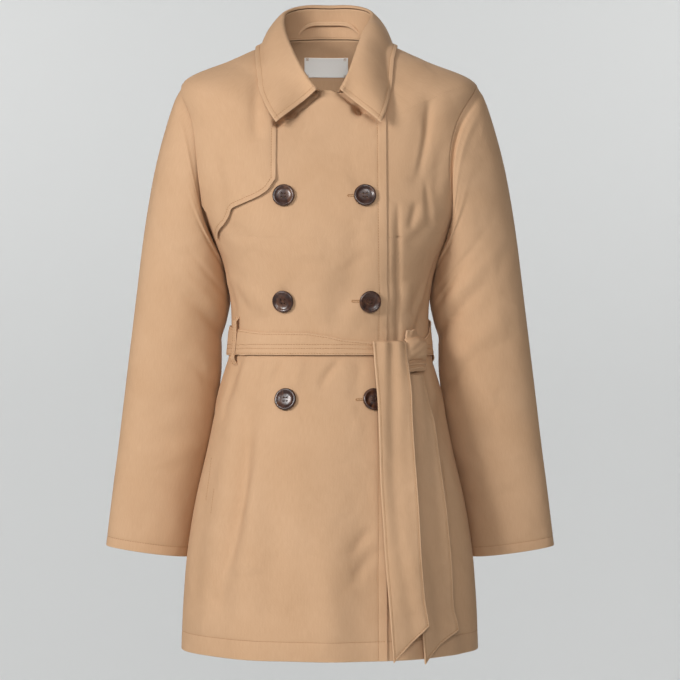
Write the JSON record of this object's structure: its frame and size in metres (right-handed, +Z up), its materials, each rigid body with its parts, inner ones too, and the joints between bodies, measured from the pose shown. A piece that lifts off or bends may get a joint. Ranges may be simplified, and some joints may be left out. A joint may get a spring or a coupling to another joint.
{
  "type": "trench coat",
  "caption": "Short double-breasted trench coat with turned-down collar, storm flap, long sleeves and a tied waist belt, in its worn form with no wearer.",
  "frame": {"origin": "centre of the neck base, where the wearer's shoulders carry the coat (mount shoulders)", "axes": "+Z up, -Y out of the coat's front, +X towards the wearer's left"},
  "size_m": [0.586, 0.3038, 0.8471],
  "materials": {
    "cotton_gabardine": "matt twill",
    "horn_buttons": "polished",
    "woven_label": "satin"
  },
  "bodies": {
    "root": {"right_front": "cotton_gabardine", "left_front": "cotton_gabardine", "back": "cotton_gabardine", "sleeve_right": "cotton_gabardine", "sleeve_left": "cotton_gabardine", "collar_stand": "cotton_gabardine", "collar_leaf": "cotton_gabardine", "storm_flap": "cotton_gabardine", "belt": "cotton_gabardine", "belt_knot": "cotton_gabardine", "belt_tail_front": "cotton_gabardine", "belt_tail_rear": "cotton_gabardine", "belt_loop_right": "cotton_gabardine", "belt_loop_left": "cotton_gabardine", "hanger_loop": "cotton_gabardine", "button_right_top": "horn_buttons", "button_right_middle": "horn_buttons", "button_right_bottom": "horn_buttons", "button_left_top": "horn_buttons", "button_left_middle": "horn_buttons", "button_left_bottom": "horn_buttons", "neck_label": "woven_label"}
  },
  "joints": []
}
